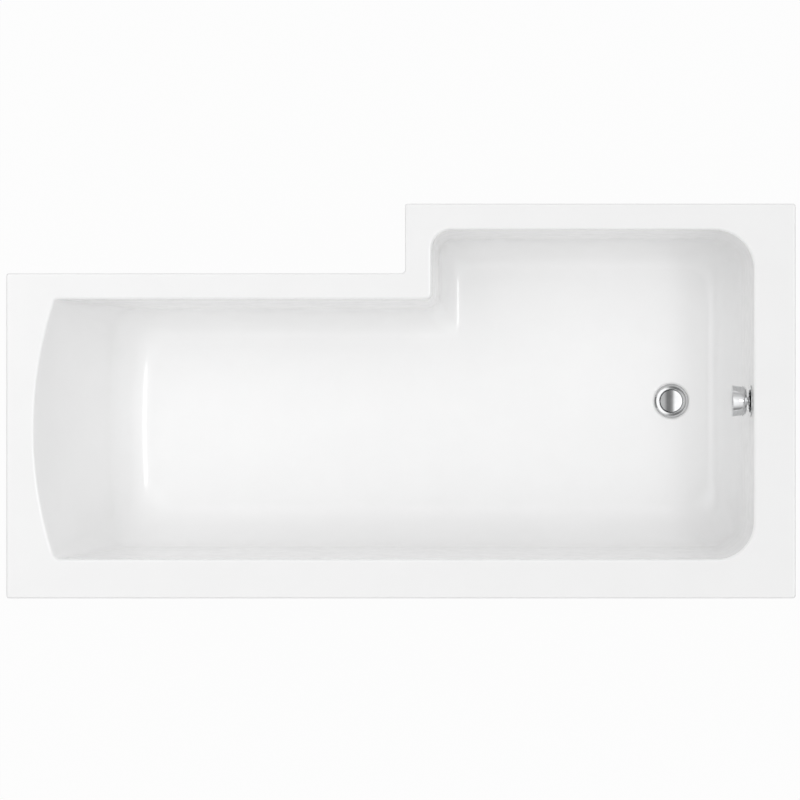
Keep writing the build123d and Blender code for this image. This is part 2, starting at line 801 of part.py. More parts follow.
# Overflow: cover ring on the wall, with a bearing for the knob's spindle
cover_back = seat_gap
with BuildPart() as overflow_cover:
    cover_outline = half_outline(
        overflow_section,
        (cover_radius, cover_back),
        (cover_radius, cover_back + cover_edge),
        (cover_land_radius, cover_height),
        (cover_bore_radius, cover_height - cover_edge),
        (cover_bore_radius, -cover_tube_length),
        (cover_tube_radius, -cover_tube_length),
        (cover_tube_radius, cover_back),
    )
    revolve(cover_outline, axis=overflow_axis)
    spindle_guide = spoked_hub(
        overflow_face.offset(cover_hub_height),
        cover_hub_radius,
        cover_bore_radius + slide_clearance,
        spindle_radius + slide_clearance,
    )
    extrude(spindle_guide, amount=-(web_thickness + cover_hub_height))
finish_part(overflow_cover.part, "overflow_cover")

gasket_front = -wall - seat_gap
gasket_back = gasket_front - gasket_thickness
with BuildPart() as overflow_gasket:
    with BuildSketch(overflow_face.offset(gasket_back)):
        Circle(gasket_radius)
        Circle(cover_tube_radius + hole_clearance, mode=Mode.SUBTRACT)
    extrude(amount=gasket_thickness)
finish_part(overflow_gasket.part, "overflow_gasket")

# Overflow elbow: a closed chamber with its spigot and cable gland pointing down
hose_start_plane = Plane(
    origin=overflow_origin - overflow_out * elbow_outlet_depth, x_dir=(0, -1, 0), z_dir=-overflow_up
)
gland_start_plane = Plane(
    origin=hose_start_plane.origin - Vector(0, cable_offset, 0), x_dir=(0, -1, 0), z_dir=-overflow_up
)
hose_start_reach = elbow_flange_radius + seat_gap
elbow_spigot_end = hose_start_reach + spigot_reach
with BuildPart() as overflow_elbow:
    elbow_outline = half_outline(
        overflow_section,
        (0, gasket_back),
        (elbow_flange_radius, gasket_back),
        (elbow_flange_radius, gasket_back - elbow_flange_thickness),
        (elbow_radius, gasket_back - 2 * elbow_flange_thickness),
        (elbow_radius, -elbow_back_depth),
        (elbow_radius - body_wall, -elbow_back_depth - body_wall),
        (0, -elbow_back_depth - body_wall),
    )
    revolve(elbow_outline, axis=overflow_axis)
    with BuildSketch(hose_start_plane):
        Circle(spigot_radius)
    extrude(amount=elbow_spigot_end)
    with BuildSketch(gland_start_plane):
        Circle(gland_radius)
    extrude(amount=gland_reach)
    elbow_chamber = half_outline(
        overflow_section,
        (0, gasket_back),
        (cover_tube_radius + slide_clearance, gasket_back),
        (cover_tube_radius + slide_clearance, -elbow_neck_depth),
        (elbow_radius - body_wall, -elbow_neck_depth - body_wall),
        (elbow_radius - body_wall, -elbow_back_depth),
        (0, -elbow_back_depth),
    )
    revolve(elbow_chamber, axis=overflow_axis, mode=Mode.SUBTRACT)
    with BuildSketch(hose_start_plane):
        Circle(spigot_bore_radius)
    extrude(amount=elbow_spigot_end, mode=Mode.SUBTRACT)
    with BuildSketch(gland_start_plane.offset(gland_reach)):
        Circle(cable_radius + pilot_clearance)
    extrude(amount=-gland_socket, mode=Mode.SUBTRACT)
finish_part(overflow_elbow.part, "overflow_elbow")

# Knob on the overflow, its spindle and the drum that winds the cable
knob_front = knob_back + knob_length
knob_hub_back = cover_hub_height + knob_hub_gap
with BuildPart() as overflow_knob:
    with BuildSketch(overflow_section):
        with BuildLine():
            Polyline(
                (0, knob_front + knob_dome),
                (0, knob_hub_back),
                (knob_hub_radius, knob_hub_back),
                (knob_hub_radius, knob_back + knob_taper),
                (knob_taper_radius - knob_wall, knob_back + knob_taper),
                (knob_taper_radius - knob_wall, knob_back),
                (knob_taper_radius, knob_back),
                (knob_radius, knob_back + knob_taper),
                (knob_radius, knob_front),
            )
            TangentArc((0, knob_front + knob_dome), (knob_radius, knob_front), tangent=(1, 0))
        make_face()
    revolve(axis=overflow_axis)
    widest_edges = overflow_knob.edges().filter_by(GeomType.CIRCLE).group_by(SortBy.LENGTH)[-1]
    fillet(widest_edges.sort_by(overflow_axis)[-1], knob_edge_radius)
    with BuildSketch(overflow_face.offset(knob_hub_back)):
        Circle(spindle_radius + pilot_clearance)
    extrude(amount=knob_bore_depth, mode=Mode.SUBTRACT)
finish_part(overflow_knob.part, "overflow_knob")

drum_front = -elbow_neck_depth - body_wall - drum_gap
drum_back = drum_front - drum_width
with BuildPart() as knob_spindle:
    with BuildSketch(overflow_face.offset(drum_back)):
        Circle(spindle_radius)
    extrude(amount=knob_hub_back + knob_bore_depth - drum_back - seat_gap)
finish_part(knob_spindle.part, "knob_spindle")

with BuildPart() as cable_drum:
    drum_outline = half_outline(
        overflow_section,
        (spindle_radius + pilot_clearance, drum_back),
        (drum_radius, drum_back),
        (drum_radius, drum_back + drum_width / 4),
        (drum_radius - drum_groove, drum_back + drum_width / 2),
        (drum_radius, drum_front - drum_width / 4),
        (drum_radius, drum_front),
        (spindle_radius + pilot_clearance, drum_front),
    )
    revolve(drum_outline, axis=overflow_axis)
finish_part(cable_drum.part, "cable_drum")


def service_run(start_plane, start_reach, end_reach):
    """Down behind the basin and along under it to the waste: start, corner and end of a route."""
    start = start_plane.origin + start_plane.z_dir * start_reach
    end = Vector(drain_x + end_reach, start.Y, drain_seat - inlet_depth)
    drop = (start.Z - end.Z) / -start_plane.z_dir.Z
    return start, start + start_plane.z_dir * drop, end


# Overflow hose: plain cuffs on both spigots and a ribbed stretch round the bend
hose_start, hose_corner, hose_end = service_run(hose_start_plane, hose_start_reach, chamber_outer + seat_gap)
hose_path = FilletPolyline(hose_start, hose_corner, hose_end, radius=hose_bend_radius)
hose_length = hose_path.length
rib_start = hose_path.edges()[0].length - hose_bend_radius / 4
rib_end = hose_length - hose_cuff_length
rib_pitch = (rib_end - rib_start) / rib_count


def hose_section(distance, radius):
    """A round section of the hose at a distance along its route, always turned the same way."""
    place = hose_path.position_at(distance / hose_length)
    direction = hose_path.tangent_at(distance / hose_length)
    with BuildSketch(Plane(origin=place, x_dir=(0, -1, 0), z_dir=direction)) as section:
        Circle(radius)
    return section.sketch


rib_shape = [
    (0.0, hose_wall_radius),
    (0.25, hose_rib_radius),
    (0.5, hose_rib_radius),
    (0.75, hose_wall_radius),
]
with BuildPart() as overflow_hose:
    with BuildSketch(Plane(origin=hose_start, x_dir=(0, -1, 0), z_dir=hose_path % 0)):
        Circle(hose_cuff_radius)
    extrude(amount=rib_start)
    rib_sections = [
        hose_section(rib_start + (rib + share) * rib_pitch, radius)
        for rib in range(rib_count)
        for share, radius in rib_shape
    ]
    rib_sections.append(hose_section(rib_end, hose_wall_radius))
    loft(sections=rib_sections, ruled=True)
    with BuildSketch(Plane(origin=hose_end, x_dir=(0, -1, 0), z_dir=-(hose_path % 1))):
        Circle(hose_cuff_radius)
    extrude(amount=hose_length - rib_end)
    with BuildSketch(Plane(origin=hose_start, x_dir=(0, -1, 0), z_dir=hose_path % 0)):
        Circle(hose_bore_radius)
    sweep(path=hose_path, mode=Mode.SUBTRACT)
finish_part(overflow_hose.part, "overflow_hose")


def hose_nut(place, direction, name):
    """A gripped plastic ring that clamps a hose cuff on its spigot."""
    with BuildPart() as ring:
        with BuildSketch(Plane(origin=place, x_dir=(0, -1, 0), z_dir=direction)):
            Circle(hose_nut_radius)
            with PolarLocations(hose_nut_radius, hose_nut_grips):
                Circle(hose_nut_grip_radius, mode=Mode.SUBTRACT)
            Circle(hose_cuff_radius + slide_clearance, mode=Mode.SUBTRACT)
        extrude(amount=hose_nut_length)
    finish_part(ring.part, name)


nut_inset = (spigot_reach - hose_nut_length) / 2
hose_nut(hose_start + (hose_path % 0) * nut_inset, hose_path % 0, "hose_nut_upper")
hose_nut(hose_end - (hose_path % 1) * nut_inset, -(hose_path % 1), "hose_nut_lower")

# Cable from the overflow to the waste, in its sheath, held by a gland at each end
cable_start, cable_corner, cable_end = service_run(
    gland_start_plane, gland_reach - gland_socket, waste_gland_reach - gland_socket
)
cable_path = FilletPolyline(cable_start, cable_corner, cable_end, radius=hose_bend_radius)
with BuildPart() as lift_cable:
    with BuildSketch(Plane(origin=cable_start, x_dir=(0, -1, 0), z_dir=cable_path % 0)):
        Circle(cable_radius)
    sweep(path=cable_path)
finish_part(lift_cable.part, "lift_cable")

print(f"overflow leans {math.degrees(overflow_lean):.2f} degrees at x {overflow_x:.2f}")
print(f"cable runs {cable_path.length:.1f} mm with one bend of radius {hose_bend_radius:.0f} mm")
print(f"hose runs {hose_length:.1f} mm with one bend of radius {hose_bend_radius:.0f} mm")
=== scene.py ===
"""The looks of an L-shaped shower bath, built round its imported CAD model.

Lengths are in metres in the CAD frame: X from the head end to the waste end, Y from the wall to
the front with the step in it, Z up from the floor. Profiles of turned pieces are in millimetres.
"""

import json
import math

import bmesh
import bpy
import numpy as np
from mathutils import Matrix, Vector


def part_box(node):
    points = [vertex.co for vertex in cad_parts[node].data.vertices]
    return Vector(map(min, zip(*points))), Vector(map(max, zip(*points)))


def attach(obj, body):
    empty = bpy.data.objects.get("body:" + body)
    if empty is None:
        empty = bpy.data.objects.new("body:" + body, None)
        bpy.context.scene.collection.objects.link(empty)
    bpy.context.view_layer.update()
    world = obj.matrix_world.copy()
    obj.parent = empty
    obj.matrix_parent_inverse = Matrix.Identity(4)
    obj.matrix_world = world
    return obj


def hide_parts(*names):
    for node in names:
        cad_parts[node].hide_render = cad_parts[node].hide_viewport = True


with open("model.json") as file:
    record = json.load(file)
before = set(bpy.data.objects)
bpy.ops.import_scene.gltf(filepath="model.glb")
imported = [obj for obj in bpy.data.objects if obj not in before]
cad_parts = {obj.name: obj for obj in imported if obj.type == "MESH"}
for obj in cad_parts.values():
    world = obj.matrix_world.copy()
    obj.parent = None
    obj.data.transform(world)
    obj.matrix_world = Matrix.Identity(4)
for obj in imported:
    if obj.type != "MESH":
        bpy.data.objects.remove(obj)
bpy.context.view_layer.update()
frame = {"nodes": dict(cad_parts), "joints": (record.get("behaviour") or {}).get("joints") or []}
MM = 0.001

# Places that the frame gives
shell_low, shell_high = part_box("bath_shell")
flange_low, flange_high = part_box("waste_flange")
HEAD_X = shell_low[0]
TAP_X = shell_high[0]
WALL_Y = shell_low[1]
FRONT_Y = shell_high[1]
RIM_HEIGHT = shell_high[2]
DRAIN_X = (flange_low[0] + flange_high[0]) / 2
knob_joint = next(joint for joint in frame["joints"] if joint["name"] == "knob_turn")
OVERFLOW_AT = Vector(knob_joint["pos_m"])
OVERFLOW_OUT = Vector(knob_joint["axis"])
foot_joint = next(joint for joint in frame["joints"] if joint["name"] == "foot_1_height")
FOOT_TRAVEL = foot_joint["range_m"][1]

# Shell sizes
HEAD_END_WIDTH = 700 * MM
HEAD_END_LENGTH = 859 * MM
BATH_DEPTH = 385 * MM
FLOOR_FALL = math.radians(0.4)
WALL = 5 * MM
LIP_DEPTH = 40 * MM
RIM_CORNER_RADIUS = 6 * MM
STEP_CORNER_RADIUS = 9 * MM
RIM_EDGE_RADIUS = 4 * MM
BASIN_EDGE_RADIUS = 7 * MM
DRAIN_HOLE_RADIUS = 26.5 * MM
OVERFLOW_HOLE_RADIUS = 26.5 * MM
SEAT_RADIUS = 40 * MM
SEAT_DEPTH = 3 * MM
HEAD_BOW = 45 * MM
FLOOR_BOW = 12 * MM
NARROW_Y = WALL_Y + HEAD_END_WIDTH
STEP_X = HEAD_X + HEAD_END_LENGTH

# Each basin side: its edge at the rim, which way the basin lies, its lean, and its cove's reach and height
SIDES = {
    "wall": (WALL_Y + 84 * MM, 1, 36 * MM, 90 * MM, 110 * MM),
    "tap": (TAP_X - 90 * MM, -1, 32 * MM, 66 * MM, 150 * MM),
    "front": (FRONT_Y - 56 * MM, -1, 24 * MM, 66 * MM, 80 * MM),
    "step": (STEP_X + 57 * MM, 1, 20 * MM, 44 * MM, 60 * MM),
    "narrow": (NARROW_Y - 56 * MM, -1, 24 * MM, 66 * MM, 80 * MM),
    "head": (HEAD_X + 58 * MM, 1, 190 * MM, 60 * MM, 60 * MM),
}

# Each basin corner, anticlockwise from the wall and head: its two sides, rim radius and floor radius
CORNERS = [
    ("head", "wall", 20 * MM, 75 * MM),
    ("tap", "wall", 80 * MM, 66 * MM),
    ("tap", "front", 86 * MM, 62 * MM),
    ("step", "front", 42 * MM, 32 * MM),
    ("step", "narrow", 14 * MM, 32 * MM),
    ("head", "narrow", 9 * MM, 75 * MM),
]
REENTRANT = 4
POINTS_PER_CORNER = 13
POINTS_PER_SIDE = 18
COVE_RINGS = 33
WALL_RINGS = 14
FLOOR_RINGS = 9
FILLET_STEPS = 8
RIM_EDGE_RINGS = 7
SUPPORT_DISTANCE = 1.5 * MM
OUTSIDE_TOP_SHARE = 0.02

# Points round each turned piece, and round the small hubs in the two tubes
TURN_SEGMENTS = 144
HUB_SEGMENTS = 48

# Sizes of the waste, in millimetres, with heights above the seat that its flange stands on
FLANGE_RADIUS = 37
FLANGE_BOTTOM = 1.5
FLANGE_RIM_RADIUS = 36.1
FLANGE_RIM_TOP = 2.6
FLANGE_CROWN_RADIUS = 32.5
FLANGE_TOP = 4.9
# The flange's ring falls by this towards its bowl, as its mirror image in the photograph suggests
FLANGE_DISH = 0.5
BOWL_RADIUS = 26.6
BOWL_BOTTOM = -1.5
FLANGE_BORE_RADIUS = 20
FLANGE_TUBE_RADIUS = 23.2
FLANGE_TUBE_BOTTOM = -22
STEM_GUIDE_TOP = -10.0
STEM_GUIDE_RADIUS = 6.0
PLUG_RADIUS = 23.6
PLUG_UNDER = 2.3
PLUG_CROWN = 1.4
PLUG_STEM_RADIUS = 3
PLUG_STEM_BOTTOM = -33.6

# Sizes of the overflow, in millimetres, with heights above the wall that its cover stands on
COVER_RADIUS = 34.5
COVER_BACK = 0.3
COVER_EDGE_TOP = 1.9
COVER_LAND_RADIUS = 25
COVER_TOP = 5
COVER_BORE_RADIUS = 19
COVER_BORE_TOP = 3.4
COVER_TUBE_RADIUS = 21.8
COVER_TUBE_BOTTOM = -20
SPINDLE_GUIDE_RADIUS = 8.0
SPINDLE_GUIDE_TOP = 4.0
SPINDLE_RADIUS = 4
KNOB_RADIUS = 33.8
KNOB_BACK = 11
KNOB_TAPER_END = 20
KNOB_TAPER_RADIUS = 27
KNOB_HOLLOW_RADIUS = 24
# The front is 6.5 mm further out than that of the knob's solid, because the photograph shows it there
KNOB_FRONT = 41.5
KNOB_DOME = 1.5
KNOB_EDGE_RADIUS = 1.6
KNOB_DOME_RADIUS = 31.5
KNOB_HUB_RADIUS = 9
KNOB_HUB_BACK = 5.5
KNOB_BORE_END = 17.5

# Sizes of the bored hub on spokes that guides the plug's stem and the knob's spindle, in millimetres
PIN_CLEARANCE = 0.05
SLIDE_CLEARANCE = 0.1
GUIDE_THICKNESS = 4.0
SPOKES = 3
SPOKE_WIDTH = 3.0

# Materials: the thread of the feet, and the span that most of a noise texture's values lie in
THREAD_PITCH = 1.5 * MM
NOISE_SPAN = (0.3, 0.7)

# The stage floor, in metres each way from its middle, and the point that the lamp at the head end faces
FLOOR_HALF_WIDTH = 40
FLOOR_GREY = 0.35
FLOOR_WHITE_SHARE = 0.97
LAMP_AIM = (0, 0, RIM_HEIGHT)

# The surround's parts: an axis, where along it each starts and is full, and how bright it is there
SURROUND = [
    ("Z", 0.5, 1.0, 1.38),
    ("Y", 0.0, -1.0, 0.34),
    ("Y", 0.6, 1.0, 0.9),
    ("X", 0.0, 1.0, 0.42),
    ("X", 0.0, -1.0, 0.3),
]

# Overhead there are panels with a dark gap between them: how bright each is, by the X of the direction
OVERHEAD_REACH = 0.3
OVERHEAD_BANDS = [
    (-OVERHEAD_REACH, 0.8),
    (-0.15, 0.7),
    (-0.08, 0.27),
    (-0.02, 0.27),
    (0.03, 0.45),
    (0.09, 1.5),
    (OVERHEAD_REACH, 1.6),
]

# The Z of a direction at which the panels begin and are full, and at which mirrors see the white backdrop
OVERHEAD_EDGE = (0.95, 0.97)
BACKDROP_EDGE = (0.35, 0.2)

# The photograph looks straight down from far away; this many millimetres of rim to a pixel
RIM_MM_PER_PIXEL = 2.154
IMAGE_PIXELS = 800
IMAGE_MIDDLE = (-2.2 * MM, 2.2 * MM)
CAMERA_RISE = 60.0
CAMERA_SENSOR = 36


# Helpers for meshes and objects


def add_object(name, mesh, body):
    """A mesh as an object that rides on a CAD body."""
    thing = bpy.data.objects.new(name, mesh)
    bpy.context.collection.objects.link(thing)
    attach(thing, body)
    return thing


def finish_mesh(work, name, sharp_angle=math.radians(32)):
    """A bmesh as a mesh with its normals pointing out, smooth except at its sharp edges."""
    bmesh.ops.recalc_face_normals(work, faces=work.faces)
    mesh = bpy.data.meshes.new(name)
    work.to_mesh(mesh)
    work.free()
    mesh.polygons.foreach_set("use_smooth", [True] * len(mesh.polygons))
    mesh.set_sharp_from_angle(angle=sharp_angle)
    return mesh


# The shell's rings: outlines of one point count, from the waste hole up, over the rim and back below


def inset(side, share):
    """How far a basin side has come in from the rim at a share of the depth."""
    _, _, lean, cove_reach, cove_height = SIDES[side]
    into_cove = max(0.0, 1 - BATH_DEPTH * (1 - share) / cove_height)
    return lean * share + cove_reach * (1 - math.sqrt(max(0.0, 1 - into_cove**2)))


def arc_points(middle, first, last, count):
    """Points round a middle, from one point to another at the same distance."""
    first = np.array(first) - middle
    last = np.array(last) - middle
    radius = np.linalg.norm(first)
    sweep = math.acos(np.clip(np.dot(first, last) / radius**2, -1, 1))
    shares = np.linspace(0, 1, count)[:, None]
    return middle + (np.sin((1 - shares) * sweep) * first + np.sin(shares * sweep) * last) / math.sin(sweep)


def corner_arc(corners, index, bow):
    """The rounded corner at an index, where the side from the last corner to the first may bow out."""
    here = np.array(corners[index][:2])
    radius = corners[index][2]
    before = np.array(corners[index - 1][:2]) - here
    after = np.array(corners[(index + 1) % len(corners)][:2]) - here
    before /= np.linalg.norm(before)
    after /= np.linalg.norm(after)
    middle = here + (before + after) * radius
    first = here + before * radius
    last = here + after * radius
    if bow and index in (0, len(corners) - 1):
        bow_radius, bow_middle = bow_circle(corners, bow)
        rise = middle[1] - bow_middle[1]
        middle[0] = bow_middle[0] - math.sqrt((bow_radius - radius) ** 2 - rise**2)
        on_bow = bow_middle + (middle - bow_middle) * bow_radius / (bow_radius - radius)
        on_side = np.array((middle[0], here[1]))
        first, last = (on_bow, on_side) if index == 0 else (on_side, on_bow)
    return arc_points(middle, first, last, POINTS_PER_CORNER)


def bow_circle(corners, bow):
    """The radius and middle of the arc through the first and last corners, bowed out by bow."""
    half = (corners[-1][1] - corners[0][1]) / 2
    radius = (half**2 + bow**2) / (2 * bow)
    return radius, np.array((corners[0][0] - bow + radius, corners[0][1] + half))


def rounded_outline(corners, bow=0.0):
    """Points round an outline of right-angled corners, each given as its x, y and radius."""
    arcs = [corner_arc(corners, index, bow) for index in range(len(corners))]
    points = []
    for index, arc in enumerate(arcs):
        shares = np.arange(1, POINTS_PER_SIDE + 1)[:, None] / (POINTS_PER_SIDE + 1)
        side = arc[-1] + (arcs[(index + 1) % len(arcs)][0] - arc[-1]) * shares
        if bow and index == len(arcs) - 1:
            bow_radius, bow_middle = bow_circle(corners, bow)
            side[:, 0] = bow_middle[0] - np.sqrt(bow_radius**2 - (side[:, 1] - bow_middle[1]) ** 2)
        points += [arc, side]
    return np.concatenate(points)


def side_places(share, grow):
    """Where each basin side lies at a share of the depth, grown outwards by grow[side]."""
    return {
        side: edge + way * (inset(side, share) - grow[side])
        for side, (edge, way, _, _, _) in SIDES.items()
    }


def even(value):
    """The same growth or height for every side."""
    return dict.fromkeys(SIDES, value)


def basin_ring(share, height, grow):
    """A ring of the basin; height gives each side's height, so that a ring can follow a fillet."""
    places = side_places(share, grow)
    bow = HEAD_BOW + (FLOOR_BOW - HEAD_BOW) * share
    corners = []
    for index, (side_x, side_y, at_rim, at_floor) in enumerate(CORNERS):
        x = places[side_x] + (bow if side_x == "head" else 0)
        growth = (grow[side_x] + grow[side_y]) / 2
        radius = at_rim + (at_floor - at_rim) * share + (-growth if index == REENTRANT else growth)
        corners.append((x, places[side_y], max(radius, WALL / 2)))
    outline = rounded_outline(corners, bow)
    fall = (DRAIN_X - outline[:, 0]) * math.tan(FLOOR_FALL * share)
    return np.column_stack((outline, ring_heights(height) + fall))


def ring_heights(height):
    """Each ring point's height: that of its side, blended round the corners."""
    order = ["wall", "tap", "front", "step", "narrow", "head"]
    values = []
    for index, side in enumerate(order):
        values.append(np.linspace(height[order[index - 1]], height[side], POINTS_PER_CORNER))
        values.append(np.full(POINTS_PER_SIDE, height[side]))
    return np.concatenate(values)


def rim_ring(inwards, height):
    """A ring that follows the outside of the bath, a distance inside it."""
    across = {"head": HEAD_X + inwards, "tap": TAP_X - inwards, "step": STEP_X + inwards}
    along = {"wall": WALL_Y + inwards, "front": FRONT_Y - inwards, "narrow": NARROW_Y - inwards}
    corners = []
    for index, (side_x, side_y, _, _) in enumerate(CORNERS):
        outer_radius = max(RIM_CORNER_RADIUS - inwards, 0.5 * MM)
        radius = STEP_CORNER_RADIUS + inwards if index == REENTRANT else outer_radius
        corners.append((across[side_x], along[side_y], radius))
    outline = rounded_outline(corners)
    return np.column_stack((outline, np.full(len(outline), height)))


def drain_ring(radius, height, like):
    """A ring round the waste, with its points in line with those of another ring."""
    away = like[:, :2] - np.array((DRAIN_X, 0))
    away = away / np.linalg.norm(away, axis=1)[:, None] * radius
    return np.column_stack((away + np.array((DRAIN_X, 0)), np.full(len(away), height)))


def fillet_reach(lean):
    """How far the basin's upper fillet starts from the corner that it rounds."""
    return BASIN_EDGE_RADIUS * math.tan(math.pi / 4 - math.atan2(lean, BATH_DEPTH) / 2)


def fillet_rings(steps):
    """Rings round the basin's upper edge, from the first on its wall to the one on the flat rim."""
    rings = []
    for step in range(steps, -1, -1):
        grow, height = {}, {}
        for side, (_, _, lean, _, _) in SIDES.items():
            turn = (math.pi / 2 - math.atan2(lean, BATH_DEPTH)) * step / steps
            grow[side] = fillet_reach(lean) - BASIN_EDGE_RADIUS * math.sin(turn)
            height[side] = RIM_HEIGHT - BASIN_EDGE_RADIUS * (1 - math.cos(turn))
        rings.append(basin_ring(0, height, grow))
    return rings


def floor_rings(floor_edge):
    """Rings from the waste hole out over its seat and the falling floor, up to the floor's edge."""
    floor_height = RIM_HEIGHT - BATH_DEPTH
    seat_height = floor_height - SEAT_DEPTH
    lip = 0.5 * MM
    rings = [
        drain_ring(DRAIN_HOLE_RADIUS, seat_height, floor_edge),
        drain_ring(SEAT_RADIUS, seat_height, floor_edge),
    ]
    for past_seat, below in ((0, lip), (lip, 0), (3 * MM, 0), (12 * MM, 0)):
        ring = drain_ring(SEAT_RADIUS + past_seat, floor_height - below, floor_edge)
        ring[:, 2] += (DRAIN_X - ring[:, 0]) * math.tan(FLOOR_FALL)
        rings.append(ring)
    around = rings[-1]
    shares = np.linspace(0, 1, FLOOR_RINGS)[1:-1]
    return rings + [around + (floor_edge - around) * share for share in shares]


def rim_rings():
    """Rings over the flat rim, round its outer edge and down and up the two faces of its lip."""
    flat_edge = {side: fillet_reach(size[2]) + SUPPORT_DISTANCE for side, size in SIDES.items()}
    lip_bottom = RIM_HEIGHT - LIP_DEPTH
    underside = RIM_HEIGHT - WALL
    lip_edge = 0.6 * MM
    rings = [
        basin_ring(0, even(RIM_HEIGHT), flat_edge),
        rim_ring(RIM_EDGE_RADIUS + SUPPORT_DISTANCE, RIM_HEIGHT),
    ]
    for turn in np.linspace(0, math.pi / 2, RIM_EDGE_RINGS):
        inwards = RIM_EDGE_RADIUS * (1 - math.sin(turn))
        rings.append(rim_ring(inwards, RIM_HEIGHT - RIM_EDGE_RADIUS * (1 - math.cos(turn))))
    rings += [
        rim_ring(0, RIM_HEIGHT - RIM_EDGE_RADIUS - SUPPORT_DISTANCE),
        rim_ring(0, lip_bottom + lip_edge),
        rim_ring(lip_edge, lip_bottom),
        rim_ring(WALL - lip_edge, lip_bottom),
        rim_ring(WALL, lip_bottom + lip_edge),
        rim_ring(WALL, underside),
        basin_ring(0, even(underside), even(WALL + SUPPORT_DISTANCE)),
    ]
    return rings


def shell_rings():
    """All the shell's rings in order. The last one joins the first through the waste hole."""
    cove_top = max(cove_height for _, _, _, _, cove_height in SIDES.values())
    turns = np.linspace(math.pi / 2, 0, COVE_RINGS)
    shares = [1 - cove_top * (1 - math.sin(turn)) / BATH_DEPTH for turn in turns]
    shares += list(np.linspace(shares[-1], 0, WALL_RINGS))[1:-1]
    basin = [basin_ring(share, even(RIM_HEIGHT - BATH_DEPTH * share), even(0)) for share in shares]
    outside = [
        basin_ring(share, even(RIM_HEIGHT - (BATH_DEPTH + WALL) * share), even(WALL))
        for share in [OUTSIDE_TOP_SHARE, *reversed(shares[::2])]
    ]
    floor_underside = RIM_HEIGHT - BATH_DEPTH - WALL
    under = drain_ring(SEAT_RADIUS + WALL, floor_underside, basin[0])
    return [
        *floor_rings(basin[0]),
        *basin,
        *fillet_rings(FILLET_STEPS),
        *rim_rings(),
        *outside,
        under + (outside[-1] - under) * 0.5,
        under,
        drain_ring(SEAT_RADIUS + WALL, floor_underside - SEAT_DEPTH, basin[0]),
        drain_ring(DRAIN_HOLE_RADIUS, floor_underside - SEAT_DEPTH, basin[0]),
    ]


def cut_overflow_hole(shell):
    """Cuts the round hole for the overflow through the wall at the tap end."""
    matrix = place_on(OVERFLOW_AT, OVERFLOW_OUT)
    radius = OVERFLOW_HOLE_RADIUS / MM
    reach = 20
    mesh = lathe("overflow_cutter", [(0, -reach), (radius, -reach), (radius, reach), (0, reach)], matrix)
    cutter = bpy.data.objects.new("overflow_cutter", mesh)
    bpy.context.collection.objects.link(cutter)
    cut = shell.modifiers.new("overflow_hole", "BOOLEAN")
    cut.object = cutter
    cut.solver = "EXACT"
    graph = bpy.context.evaluated_depsgraph_get()
    shell.data = bpy.data.meshes.new_from_object(shell.evaluated_get(graph))
    shell.modifiers.remove(cut)
    bpy.data.objects.remove(cutter)


def make_shell():
    """The acrylic shell."""
    work = bmesh.new()
    rings = [[work.verts.new(point) for point in ring] for ring in shell_rings()]
    for index, ring in enumerate(rings):
        after = rings[(index + 1) % len(rings)]
        for step in range(len(ring)):
            beyond = (step + 1) % len(ring)
            work.faces.new((ring[step], ring[beyond], after[beyond], after[step]))
    shell = add_object("bath_shell_fine", finish_mesh(work, "bath_shell_fine"), "bath")
    cut_overflow_hole(shell)
    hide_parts("bath_shell")
    return shell


# Turned pieces, as profiles of radius and height in millimetres about an axis


def place_on(origin, up):
    """The matrix that puts a piece modelled along Z on an origin, with its Z along up."""
    turn = Vector((0, 0, 1)).rotation_difference(Vector(up)).to_matrix().to_4x4()
    return Matrix.Translation(Vector(origin)) @ turn


def turned(work, profile, matrix, segments=TURN_SEGMENTS):
    """Adds a closed profile turned about Z and placed by a matrix. Points on the axis become poles."""
    rings = []
    for radius, height in profile:
        count = segments if radius > 0.001 else 1
        angles = [2 * math.pi * step / count for step in range(count)]
        points = [(radius * math.cos(angle), radius * math.sin(angle), height) for angle in angles]
        rings.append([work.verts.new(matrix @ (Vector(point) * MM)) for point in points])
    for index, ring in enumerate(rings):
        after = rings[(index + 1) % len(rings)]
        for step in range(segments):
            beyond = step + 1
            around = [ring[step % len(ring)], ring[beyond % len(ring)]]
            around += [after[beyond % len(after)], after[step % len(after)]]
            corners = list(dict.fromkeys(around))
            if len(corners) > 2:
                work.faces.new(corners)


def lathe(name, profile, matrix):
    """A closed profile turned about Z, as a mesh."""
    work = bmesh.new()
    turned(work, profile, matrix)
    return finish_mesh(work, name)


def rounded(profile, radii, steps=5):
    """A profile with its corners rounded; radii gives a radius by corner index."""
    points = []
    for index, corner in enumerate(profile):
        here = np.array(corner, float)
        radius = radii.get(index, 0)
        if not radius:
            points.append(tuple(here))
            continue
        before = np.array(profile[index - 1], float) - here
        after = np.array(profile[(index + 1) % len(profile)], float) - here
        before /= np.linalg.norm(before)
        after /= np.linalg.norm(after)
        turn = math.acos(np.clip(np.dot(before, after), -1, 1))
        reach = radius / math.tan(turn / 2)
        towards = (before + after) / np.linalg.norm(before + after)
        middle = here + towards * (radius / math.sin(turn / 2))
        arc = arc_points(middle, here + before * reach, here + after * reach, steps + 1)
        points += [tuple(point) for point in arc]
    return points


def dome(radius, base, crown, steps=14):
    """Points of a shallow dome, from near its edge to its middle."""
    sphere = (radius**2 + crown**2) / (2 * crown)
    across = radius * (1 - np.arange(1, steps + 1) / steps)
    return [(x, base + math.sqrt(sphere**2 - x**2) - (sphere - crown)) for x in across]


